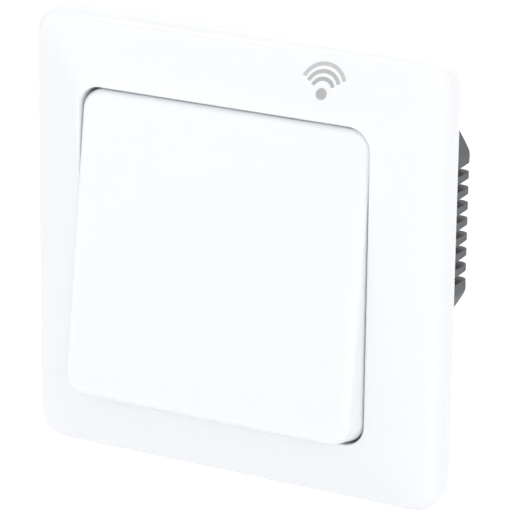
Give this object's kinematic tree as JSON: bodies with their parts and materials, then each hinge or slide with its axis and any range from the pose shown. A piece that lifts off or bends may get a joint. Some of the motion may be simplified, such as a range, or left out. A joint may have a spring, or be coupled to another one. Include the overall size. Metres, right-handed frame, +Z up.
{
  "type": "wireless remote wall switch",
  "caption": "Flush wall switch with a sloped square cover frame, one large rocker, a radio-wave mark and a round vented insert housing behind.",
  "frame": {"origin": "centre of the mounting plate's back face, in the wall plane, midway between the two box screw slots", "axes": "+X to the right, +Z up, the rocker faces -Y and the insert housing runs to +Y into the wall"},
  "size_m": [0.08, 0.052, 0.08],
  "materials": {
    "white_plastic": "smooth glossy white, moulded",
    "mark_grey": "satin grey inlay",
    "light_grey_plastic": "satin, moulded",
    "dark_plastic": "fine matt texture, moulded",
    "black_plastic": "satin",
    "terminal_grey": "satin",
    "zinc_steel": "zinc plated",
    "spring_steel": "drawn",
    "shield_tin": "tinned",
    "brass_parts": "plain",
    "copper_wire": "enamelled wire",
    "board_laminate": "solder resist",
    "ferrite": "pressed",
    "winding_tape": "polyester tape",
    "capacitor_sleeve": "shrunk sleeve",
    "fuse_ceramic": "plain"
  },
  "bodies": {
    "insert": {"cover_frame": "white_plastic", "signal_arcs": "mark_grey", "signal_dot": "mark_grey", "base_frame": "light_grey_plastic", "mounting_plate": "zinc_steel", "plate_screws": "zinc_steel", "claw_screws": "zinc_steel", "rear_housing": "dark_plastic", "housing_front": "dark_plastic", "bridge_bracket": "brass_parts", "bridge_pin": "spring_steel", "fixed_contacts": "brass_parts", "control_board": "board_laminate", "power_board": "board_laminate", "board_spacers": "black_plastic", "radio_module": "board_laminate", "radio_shield": "shield_tin", "antenna": "copper_wire", "relay": "black_plastic", "transformer_core": "ferrite", "transformer_winding": "winding_tape", "capacitors": "capacitor_sleeve", "choke": "copper_wire", "fuse_tube": "fuse_ceramic", "fuse_caps": "shield_tin", "board_header": "black_plastic", "terminal_block": "terminal_grey", "terminal_clamps": "brass_parts", "terminal_screws": "zinc_steel"},
    "rocker": {"rocker_cap": "white_plastic", "rocker_carrier": "light_grey_plastic", "detent_plunger": "black_plastic", "detent_spring": "spring_steel"},
    "contact_seesaw": {"contact_bridge": "brass_parts"},
    "claw_right": {"claw_right": "zinc_steel"},
    "claw_left": {"claw_left": "zinc_steel"}
  },
  "joints": [
    {"name": "rocker_tilt", "type": "hinge", "parent": "insert", "child": "rocker", "pos_m": [0, -0.00664, 0], "axis": [1, 0, 0], "range_deg": [0, 14.5]},
    {"name": "seesaw_tilt", "type": "hinge", "parent": "insert", "child": "contact_seesaw", "pos_m": [0, 0.0042, 0], "axis": [1, 0, 0], "range_deg": [-12.6, 1]},
    {"name": "claw_right_spread", "type": "hinge", "parent": "insert", "child": "claw_right", "pos_m": [0.0272, 0.0022, 0], "axis": [0, 0, -1], "range_deg": [0, 25]},
    {"name": "claw_left_spread", "type": "hinge", "parent": "insert", "child": "claw_left", "pos_m": [-0.0272, 0.0022, 0], "axis": [0, 0, 1], "range_deg": [0, 25]}
  ],
  "couplings": [
    {"joint": "seesaw_tilt", "follows": "rocker_tilt", "ratio": -0.8}
  ]
}
